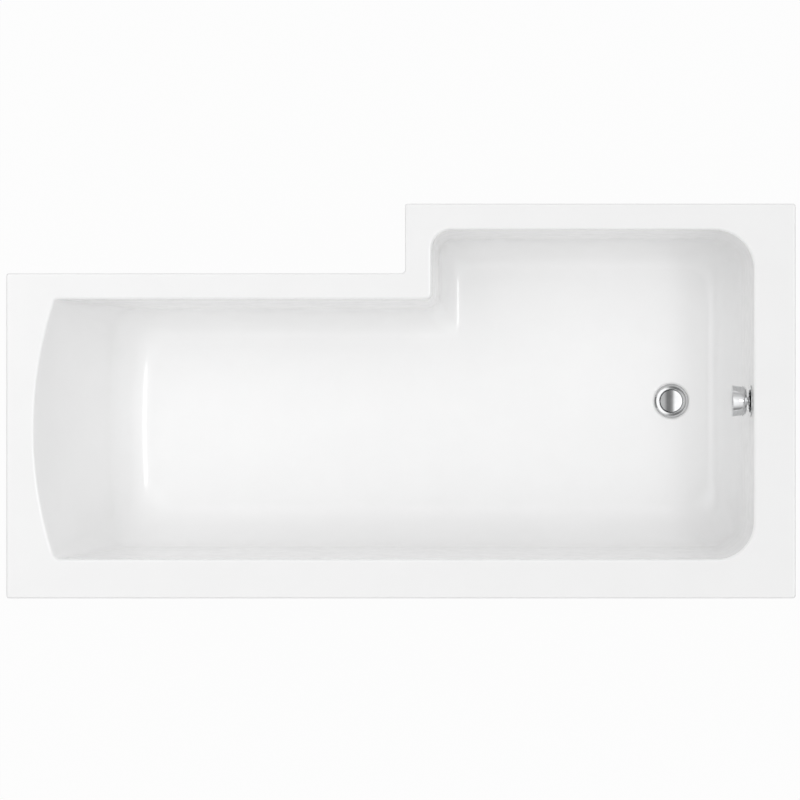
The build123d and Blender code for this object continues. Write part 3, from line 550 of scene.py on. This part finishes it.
def spoked_hub(work, matrix, hub_radius, bore_radius, reach, top, thickness):
    """Adds a bored hub on spokes across a tube."""
    bottom = top - thickness
    ring = [(hub_radius, bottom), (hub_radius, top), (bore_radius, top), (bore_radius, bottom)]
    turned(work, rounded(ring, {0: 0.4, 1: 0.4}), matrix, HUB_SEGMENTS)
    start = (hub_radius + bore_radius) / 2
    for spoke in range(SPOKES):
        turn = Matrix.Rotation(2 * math.pi * spoke / SPOKES, 4, "Z")
        box = bmesh.ops.create_cube(work, size=1)["verts"]
        for vertex in box:
            place = Vector(
                (
                    start + (reach - start) * (vertex.co.x + 0.5),
                    SPOKE_WIDTH * vertex.co.y,
                    bottom + thickness * (vertex.co.z + 0.5),
                )
            )
            vertex.co = matrix @ turn @ (place * MM)


def make_waste():
    """The chrome flange in the floor and the domed plug in its bowl."""
    seat = place_on((DRAIN_X, 0, RIM_HEIGHT - BATH_DEPTH - SEAT_DEPTH), (0, 0, 1))
    flange_profile = [
        (FLANGE_RADIUS, FLANGE_BOTTOM),
        (FLANGE_RIM_RADIUS, FLANGE_RIM_TOP),
        (FLANGE_CROWN_RADIUS, FLANGE_TOP),
        (BOWL_RADIUS, FLANGE_TOP - FLANGE_DISH),
        (FLANGE_BORE_RADIUS, BOWL_BOTTOM),
        (FLANGE_BORE_RADIUS, FLANGE_TUBE_BOTTOM),
        (FLANGE_TUBE_RADIUS, FLANGE_TUBE_BOTTOM),
        (FLANGE_TUBE_RADIUS, FLANGE_BOTTOM),
    ]
    work = bmesh.new()
    turned(work, rounded(flange_profile, {1: 0.5, 2: 1.0, 3: 0.5, 4: 1.0}), seat)
    guide_reach = FLANGE_BORE_RADIUS + SLIDE_CLEARANCE
    guide_bore = PLUG_STEM_RADIUS + SLIDE_CLEARANCE
    spoked_hub(work, seat, STEM_GUIDE_RADIUS, guide_bore, guide_reach, STEM_GUIDE_TOP, GUIDE_THICKNESS)
    flange = add_object("waste_flange_fine", finish_mesh(work, "waste_flange_fine"), "bath")
    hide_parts("waste_flange")
    plug_profile = [
        (0, PLUG_STEM_BOTTOM),
        (PLUG_STEM_RADIUS, PLUG_STEM_BOTTOM),
        (PLUG_STEM_RADIUS, PLUG_UNDER),
        (PLUG_RADIUS, PLUG_UNDER),
        (PLUG_RADIUS, FLANGE_TOP),
    ]
    plug_profile = rounded(plug_profile, {1: 0.5, 3: 0.6})
    plug_profile += dome(PLUG_RADIUS, FLANGE_TOP, PLUG_CROWN)
    plug = add_object("waste_plug_fine", lathe("waste_plug_fine", plug_profile, seat), "plug")
    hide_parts("waste_plug")
    return flange, plug


def make_overflow():
    """The chrome cover on the wall at the tap end and the knob that stands off it."""
    wall_face = place_on(OVERFLOW_AT, OVERFLOW_OUT)
    cover_profile = [
        (COVER_RADIUS, COVER_BACK),
        (COVER_RADIUS, COVER_EDGE_TOP),
        (COVER_LAND_RADIUS, COVER_TOP),
        (COVER_BORE_RADIUS, COVER_BORE_TOP),
        (COVER_BORE_RADIUS, COVER_TUBE_BOTTOM),
        (COVER_TUBE_RADIUS, COVER_TUBE_BOTTOM),
        (COVER_TUBE_RADIUS, COVER_BACK),
    ]
    work = bmesh.new()
    turned(work, rounded(cover_profile, {1: 0.6, 2: 1.5, 3: 0.5}), wall_face)
    guide_reach = COVER_BORE_RADIUS + SLIDE_CLEARANCE
    guide_bore = SPINDLE_RADIUS + SLIDE_CLEARANCE
    guide_thickness = GUIDE_THICKNESS + SPINDLE_GUIDE_TOP
    spoked_hub(
        work, wall_face, SPINDLE_GUIDE_RADIUS, guide_bore, guide_reach, SPINDLE_GUIDE_TOP, guide_thickness
    )
    cover = add_object("overflow_cover_fine", finish_mesh(work, "overflow_cover_fine"), "bath")
    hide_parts("overflow_cover")
    knob_bore = SPINDLE_RADIUS + PIN_CLEARANCE
    back = [
        (0, KNOB_BORE_END),
        (knob_bore, KNOB_BORE_END),
        (knob_bore, KNOB_HUB_BACK),
        (KNOB_HUB_RADIUS, KNOB_HUB_BACK),
        (KNOB_HUB_RADIUS, KNOB_TAPER_END),
        (KNOB_HOLLOW_RADIUS, KNOB_TAPER_END),
        (KNOB_HOLLOW_RADIUS, KNOB_BACK),
        (KNOB_TAPER_RADIUS, KNOB_BACK),
        (KNOB_RADIUS, KNOB_TAPER_END),
    ]
    edge = [(KNOB_RADIUS, KNOB_TAPER_END), (KNOB_RADIUS, KNOB_FRONT), (0, KNOB_FRONT + KNOB_DOME)]
    front = dome(KNOB_RADIUS, KNOB_FRONT, KNOB_DOME)
    knob_profile = [
        *rounded(back, {3: 0.6, 6: 0.6, 7: 0.8, 8: 1.2}),
        *rounded(edge, {1: KNOB_EDGE_RADIUS})[1:-1],
        *[point for point in front if point[0] < KNOB_DOME_RADIUS],
    ]
    knob_mesh = lathe("overflow_knob_fine", knob_profile, wall_face)
    knob = add_object("overflow_knob_fine", knob_mesh, "knob")
    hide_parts("overflow_knob")
    return cover, knob


# Helpers for shader nodes


def ramp(nodes, links, value, start, end, low, high):
    """A value run from low to high as another goes from start to end."""
    span = nodes.new("ShaderNodeMapRange")
    span.inputs["From Min"].default_value = start
    span.inputs["From Max"].default_value = end
    span.inputs["To Min"].default_value = low
    span.inputs["To Max"].default_value = high
    links.new(value, span.inputs["Value"])
    return span.outputs["Result"]


def blend(nodes, links, share, first, second=None):
    """One value blended by a share into a second, which is 1 where none is given."""
    mix = nodes.new("ShaderNodeMix")
    mix.inputs["B"].default_value = 1
    links.new(share, mix.inputs["Factor"])
    links.new(first, mix.inputs["A"])
    if second:
        links.new(second, mix.inputs["B"])
    return mix.outputs["Result"]


def combined(nodes, links, operation, first, second):
    """Two values put together by a maths operation."""
    node = nodes.new("ShaderNodeMath")
    node.operation = operation
    links.new(first, node.inputs[0])
    links.new(second, node.inputs[1])
    return node.outputs["Value"]


def mirrored_rays(nodes, links):
    """A value of 1 for glossy and transmission rays, and 0 for others."""
    path = nodes.new("ShaderNodeLightPath")
    glossy = path.outputs["Is Glossy Ray"]
    return combined(nodes, links, "MAXIMUM", glossy, path.outputs["Is Transmission Ray"])


# Materials


class Look:
    """A material with its shader, and short ways to add texture nodes to it."""

    def __init__(self, name, **values):
        self.material = bpy.data.materials.new(name)
        self.material.use_nodes = True
        self.nodes = self.material.node_tree.nodes
        self.links = self.material.node_tree.links
        self.shader = self.nodes["Principled BSDF"]
        for socket, value in values.items():
            self.shader.inputs[socket.replace("_", " ")].default_value = value
        self.place = self.nodes.new("ShaderNodeTexCoord").outputs["Object"]

    def stretched(self, scale):
        """Object coordinates, scaled along each axis."""
        mapping = self.nodes.new("ShaderNodeMapping")
        mapping.inputs["Scale"].default_value = scale
        self.links.new(self.place, mapping.inputs["Vector"])
        return mapping.outputs["Vector"]

    def noise(self, scale, detail=4.0, roughness=0.55, place=None):
        """A noise texture's value."""
        node = self.nodes.new("ShaderNodeTexNoise")
        node.inputs["Scale"].default_value = scale
        node.inputs["Detail"].default_value = detail
        node.inputs["Roughness"].default_value = roughness
        self.links.new(place or self.place, node.inputs["Vector"])
        return node.outputs["Fac"]

    def voronoi(self, scale, place=None):
        """A cell texture: the distance to each cell's middle and each cell's own colour."""
        node = self.nodes.new("ShaderNodeTexVoronoi")
        node.inputs["Scale"].default_value = scale
        self.links.new(place or self.place, node.inputs["Vector"])
        return node.outputs["Distance"], node.outputs["Color"]

    def wave(self, pitch, direction):
        """Even bands across one axis, a pitch apart."""
        node = self.nodes.new("ShaderNodeTexWave")
        node.bands_direction = direction
        node.inputs["Scale"].default_value = math.pi / 10 / pitch
        self.links.new(self.place, node.inputs["Vector"])
        return node.outputs["Fac"]

    def colour(self, value, low, high, start=0.35, end=0.65):
        """The base colour, run from low to high as a value goes from start to end."""
        run = self.nodes.new("ShaderNodeValToRGB")
        run.color_ramp.elements[0].position = start
        run.color_ramp.elements[1].position = end
        run.color_ramp.elements[0].color = (*low, 1)
        run.color_ramp.elements[1].color = (*high, 1)
        self.links.new(value, run.inputs["Fac"])
        self.links.new(run.outputs["Color"], self.shader.inputs["Base Color"])

    def roughness(self, value, low, high):
        """The roughness, run from low to high by a value."""
        run = ramp(self.nodes, self.links, value, *NOISE_SPAN, low, high)
        self.links.new(run, self.shader.inputs["Roughness"])

    def bump(self, value, distance, strength=1.0):
        """Bumps of a height, in metres, by a value."""
        bump = self.nodes.new("ShaderNodeBump")
        bump.inputs["Distance"].default_value = distance
        bump.inputs["Strength"].default_value = strength
        self.links.new(value, bump.inputs["Height"])
        self.links.new(bump.outputs["Normal"], self.shader.inputs["Normal"])


def acrylic_look():
    """Glossy white sheet, faintly uneven as a vacuum-formed shell is."""
    look = Look("acrylic", IOR=1.49)
    look.colour(look.noise(9, 3), (0.94, 0.94, 0.94), (0.95, 0.95, 0.95))
    look.roughness(look.noise(35, 4), 0.16, 0.2)
    look.bump(look.noise(14, 2), 0.00005, 0.3)
    return look.material


def glassfibre_look():
    """Cream resin with short strands in it."""
    look = Look("glassfibre")
    strands = look.noise(60, 8, 0.7, look.stretched((1, 4, 2)))
    look.colour(strands, (0.66, 0.66, 0.58), (0.86, 0.86, 0.8))
    look.roughness(look.noise(80, 5), 0.45, 0.75)
    look.bump(strands, 0.0012, 0.8)
    return look.material


def chipboard_look():
    """Pressed wood flakes."""
    look = Look("chipboard")
    distance, cell = look.voronoi(160, look.stretched((1, 0.6, 1)))
    grey = look.nodes.new("ShaderNodeRGBToBW")
    look.links.new(cell, grey.inputs["Color"])
    look.colour(grey.outputs["Val"], (0.46, 0.33, 0.2), (0.74, 0.6, 0.42), 0.2, 0.8)
    look.roughness(distance, 0.7, 0.9)
    look.bump(distance, 0.0006, 0.6)
    return look.material


def timber_look(direction):
    """Planed softwood with its grain along X or Y."""
    along = {"X": (2, 22, 22), "Y": (22, 2, 22)}[direction]
    look = Look(f"timber_{direction.lower()}")
    grain = look.noise(6, 6, 0.6, look.stretched(along))
    look.colour(grain, (0.56, 0.4, 0.22), (0.8, 0.66, 0.45), 0.3, 0.7)
    look.roughness(grain, 0.55, 0.75)
    look.bump(grain, 0.0004, 0.6)
    return look.material


def steel_look(name, tint, rough, thread_pitch=None):
    """Zinc-plated or plain steel; a thread pitch adds the turns of a screw along Z."""
    look = Look(name, Metallic=1.0)
    patches = look.noise(70, 5)
    look.colour(patches, tuple(part * 0.88 for part in tint), tint)
    look.roughness(look.noise(140, 4), rough - 0.08, rough + 0.1)
    if thread_pitch:
        look.bump(look.wave(thread_pitch, "Z"), 0.0007)
    else:
        look.bump(look.noise(260, 3), 0.00008, 0.5)
    return look.material


def plastic_look(name, low, high, rough, grain=0.00006):
    """Moulded plastic or rubber with a fine grain."""
    look = Look(name)
    look.colour(look.noise(28, 3), low, high)
    look.roughness(look.noise(60, 4), rough - 0.06, rough + 0.08)
    look.bump(look.noise(900, 2), grain, 0.6)
    return look.material


def chrome_look():
    """Polished chrome with faint wipe marks."""
    look = Look("chrome", Metallic=1.0)
    look.colour(look.noise(40, 3), (0.62, 0.625, 0.63), (0.68, 0.685, 0.69))
    look.roughness(look.noise(220, 5), 0.03, 0.07)
    look.bump(look.noise(60, 2), 0.00002, 0.2)
    return look.material


def put_on(thing, material):
    """Gives an object one material."""
    if not thing.material_slots:
        thing.data.materials.append(material)
    for place in thing.material_slots:
        place.material = material


def dress_nodes():
    """Materials for every CAD node that shows."""
    zinc = steel_look("zinc_steel", (0.7, 0.71, 0.72), 0.34)
    threaded = steel_look("threaded_steel", (0.68, 0.69, 0.7), 0.32, THREAD_PITCH)
    spindle = steel_look("spindle_steel", (0.62, 0.62, 0.63), 0.25)
    foot = plastic_look("foot_plastic", (0.018, 0.018, 0.019), (0.03, 0.03, 0.031), 0.5, 0.0001)
    rubber = plastic_look("seal_rubber", (0.02, 0.02, 0.02), (0.035, 0.035, 0.035), 0.72, 0.00012)
    waste = plastic_look("waste_plastic", (0.76, 0.76, 0.75), (0.84, 0.84, 0.83), 0.38)
    hose = plastic_look("hose_plastic", (0.7, 0.7, 0.69), (0.79, 0.79, 0.78), 0.42)
    cable = plastic_look("cable_sheath", (0.02, 0.02, 0.021), (0.034, 0.034, 0.035), 0.42)
    lever = plastic_look("lever_plastic", (0.55, 0.55, 0.52), (0.65, 0.65, 0.61), 0.4)
    looks = {
        "glassfibre_backing": glassfibre_look(),
        "base_board": chipboard_look(),
        "rim_batten_wall": timber_look("X"),
        "rim_batten_tap": timber_look("Y"),
        "knob_spindle": spindle,
        "lever_pin": spindle,
        "cable_drum": lever,
        "lift_lever": lever,
        "lift_cable": cable,
        "overflow_hose": hose,
        "overflow_gasket": rubber,
        "plug_seal": rubber,
        "waste_top_seal": rubber,
        "waste_bottom_seal": rubber,
    }
    looks["rim_batten_front"] = looks["rim_batten_narrow"] = looks["rim_batten_wall"]
    looks["rim_batten_step"] = looks["rim_batten_head"] = looks["rim_batten_tap"]
    starts = {
        "foot_stud": threaded,
        "foot_pad": foot,
        "leg_": zinc,
        "wall_bracket": zinc,
        "tap_bracket": zinc,
        "bar_screws": zinc,
        "bracket_screws": zinc,
        "waste_body": waste,
        "overflow_elbow": waste,
        "hose_nut": waste,
    }
    for name, node in frame["nodes"].items():
        material = looks.get(name)
        for start, look in starts.items():
            if name.startswith(start):
                material = look
        if material:
            put_on(node, material)


# Floor, lights and camera


def light_path_mix(nodes, links, shadowed, plain, share):
    """Mixes a share of a plain shader into another, for camera, glossy and transmission rays only."""
    path = nodes.new("ShaderNodeLightPath")
    mirrored = mirrored_rays(nodes, links)
    amount = nodes.new("ShaderNodeMath")
    amount.operation = "MULTIPLY"
    amount.inputs[1].default_value = share
    seen = combined(nodes, links, "MAXIMUM", path.outputs["Is Camera Ray"], mirrored)
    links.new(seen, amount.inputs[0])
    mix = nodes.new("ShaderNodeMixShader")
    links.new(amount.outputs["Value"], mix.inputs["Fac"])
    links.new(shadowed, mix.inputs[1])
    links.new(plain, mix.inputs[2])
    return mix.outputs["Shader"]


def make_floor():
    """A plain white-looking floor, where the feet reach when run down, see-through to a camera below it."""
    work = bmesh.new()
    bmesh.ops.create_grid(work, x_segments=8, y_segments=8, size=FLOOR_HALF_WIDTH)
    floor = bpy.data.objects.new("floor", finish_mesh(work, "floor"))
    floor.location.z = -FOOT_TRAVEL
    bpy.context.collection.objects.link(floor)
    material = bpy.data.materials.new("floor")
    material.use_nodes = True
    nodes = material.node_tree.nodes
    links = material.node_tree.links
    shader = nodes["Principled BSDF"]
    shader.inputs["Base Color"].default_value = (FLOOR_GREY, FLOOR_GREY, FLOOR_GREY, 1)
    shader.inputs["Roughness"].default_value = 0.9
    shader.inputs["Specular IOR Level"].default_value = 0.0
    white = nodes.new("ShaderNodeEmission")
    white.inputs["Color"].default_value = (1, 1, 1, 1)
    white.inputs["Strength"].default_value = 1.0
    shadowed = shader.outputs["BSDF"]
    mixed = light_path_mix(nodes, links, shadowed, white.outputs["Emission"], FLOOR_WHITE_SHARE)
    behind = nodes.new("ShaderNodeNewGeometry").outputs["Backfacing"]
    to_camera = nodes.new("ShaderNodeLightPath").outputs["Is Camera Ray"]
    open_below = nodes.new("ShaderNodeMixShader")
    links.new(combined(nodes, links, "MULTIPLY", behind, to_camera), open_below.inputs["Fac"])
    links.new(mixed, open_below.inputs[1])
    links.new(nodes.new("ShaderNodeBsdfTransparent").outputs["BSDF"], open_below.inputs[2])
    links.new(open_below.outputs["Shader"], nodes["Material Output"].inputs["Surface"])
    put_on(floor, material)


def surround_strength(nodes, links, parts):
    """How bright the surround is in a direction: the sum of its parts."""
    strength = None
    for axis, start, full, amount in SURROUND:
        share = ramp(nodes, links, parts.outputs[axis], start, full, 0, amount)
        strength = combined(nodes, links, "ADD", share, strength) if strength else share
    return strength


def overhead_strength(nodes, links, parts):
    """How bright the panels overhead are, by the X of the direction."""
    bands = nodes.new("ShaderNodeValToRGB")
    while len(bands.color_ramp.elements) < len(OVERHEAD_BANDS):
        bands.color_ramp.elements.new(1)
    for element, (place, level) in zip(bands.color_ramp.elements, OVERHEAD_BANDS):
        element.position = (place + OVERHEAD_REACH) / (2 * OVERHEAD_REACH)
        element.color = (level, level, level, 1)
    across = ramp(nodes, links, parts.outputs["X"], -OVERHEAD_REACH, OVERHEAD_REACH, 0, 1)
    links.new(across, bands.inputs["Fac"])
    return bands.outputs["Color"]


def make_world():
    """A soft studio surround with lamp panels overhead, and plain white to the camera."""
    world = bpy.data.worlds.new("studio")
    bpy.context.scene.world = world
    world.use_nodes = True
    nodes = world.node_tree.nodes
    links = world.node_tree.links
    surround = nodes["Background"]
    surround.inputs["Color"].default_value = (1, 1, 1, 1)
    direction = nodes.new("ShaderNodeTexCoord")
    parts = nodes.new("ShaderNodeSeparateXYZ")
    links.new(direction.outputs["Generated"], parts.inputs["Vector"])
    overhead = ramp(nodes, links, parts.outputs["Z"], *OVERHEAD_EDGE, 0, 1)
    around = surround_strength(nodes, links, parts)
    strength = blend(nodes, links, overhead, around, overhead_strength(nodes, links, parts))
    low_down = ramp(nodes, links, parts.outputs["Z"], *BACKDROP_EDGE, 0, 1)
    backdrop = combined(nodes, links, "MULTIPLY", mirrored_rays(nodes, links), low_down)
    links.new(blend(nodes, links, backdrop, strength), surround.inputs["Strength"])
    white = nodes.new("ShaderNodeBackground")
    white.inputs["Color"].default_value = (1, 1, 1, 1)
    white.inputs["Strength"].default_value = 1.0
    path = nodes.new("ShaderNodeLightPath")
    mix = nodes.new("ShaderNodeMixShader")
    links.new(path.outputs["Is Camera Ray"], mix.inputs["Fac"])
    links.new(surround.outputs["Background"], mix.inputs[1])
    links.new(white.outputs["Background"], mix.inputs[2])
    links.new(mix.outputs["Shader"], nodes["World Output"].inputs["Surface"])


def area_light(name, place, target, size, power):
    """A soft square lamp that the camera doesn't see."""
    data = bpy.data.lights.new(name, "AREA")
    data.shape = "SQUARE"
    data.size = size
    data.energy = power
    lamp = bpy.data.objects.new(name, data)
    lamp.location = place
    lamp.rotation_euler = (Vector(target) - Vector(place)).to_track_quat("-Z", "Y").to_euler()
    lamp.visible_camera = False
    bpy.context.collection.objects.link(lamp)


def sun_light(name, towards, width, strength):
    """A far lamp, seen in a direction and as wide as an angle, for the gleam along the coves."""
    data = bpy.data.lights.new(name, "SUN")
    data.angle = width
    data.energy = strength
    lamp = bpy.data.objects.new(name, data)
    lamp.rotation_euler = Vector(towards).to_track_quat("Z", "Y").to_euler()
    bpy.context.collection.objects.link(lamp)


def make_camera():
    """A long lens straight above the bath."""
    data = bpy.data.cameras.new("camera")
    data.sensor_width = CAMERA_SENSOR
    data.lens = data.sensor_width * CAMERA_RISE / (IMAGE_PIXELS * RIM_MM_PER_PIXEL * MM)
    data.clip_end = 4 * CAMERA_RISE
    camera = bpy.data.objects.new("camera", data)
    camera.location = (*IMAGE_MIDDLE, RIM_HEIGHT + CAMERA_RISE)
    bpy.context.collection.objects.link(camera)
    bpy.context.scene.camera = camera


make_camera()
make_world()
make_floor()
area_light("head_end_light", place=(-1.6, 0.8, 3.2), target=LAMP_AIM, size=2.0, power=12)
sun_light("waste_end_light", towards=(0.39, 0.03, 0.92), width=math.radians(8), strength=0.2)
put_on(make_shell(), acrylic_look())
chrome = chrome_look()
for chrome_piece in [*make_waste(), *make_overflow()]:
    put_on(chrome_piece, chrome)
dress_nodes()
bpy.context.scene.view_settings.view_transform = "Standard"
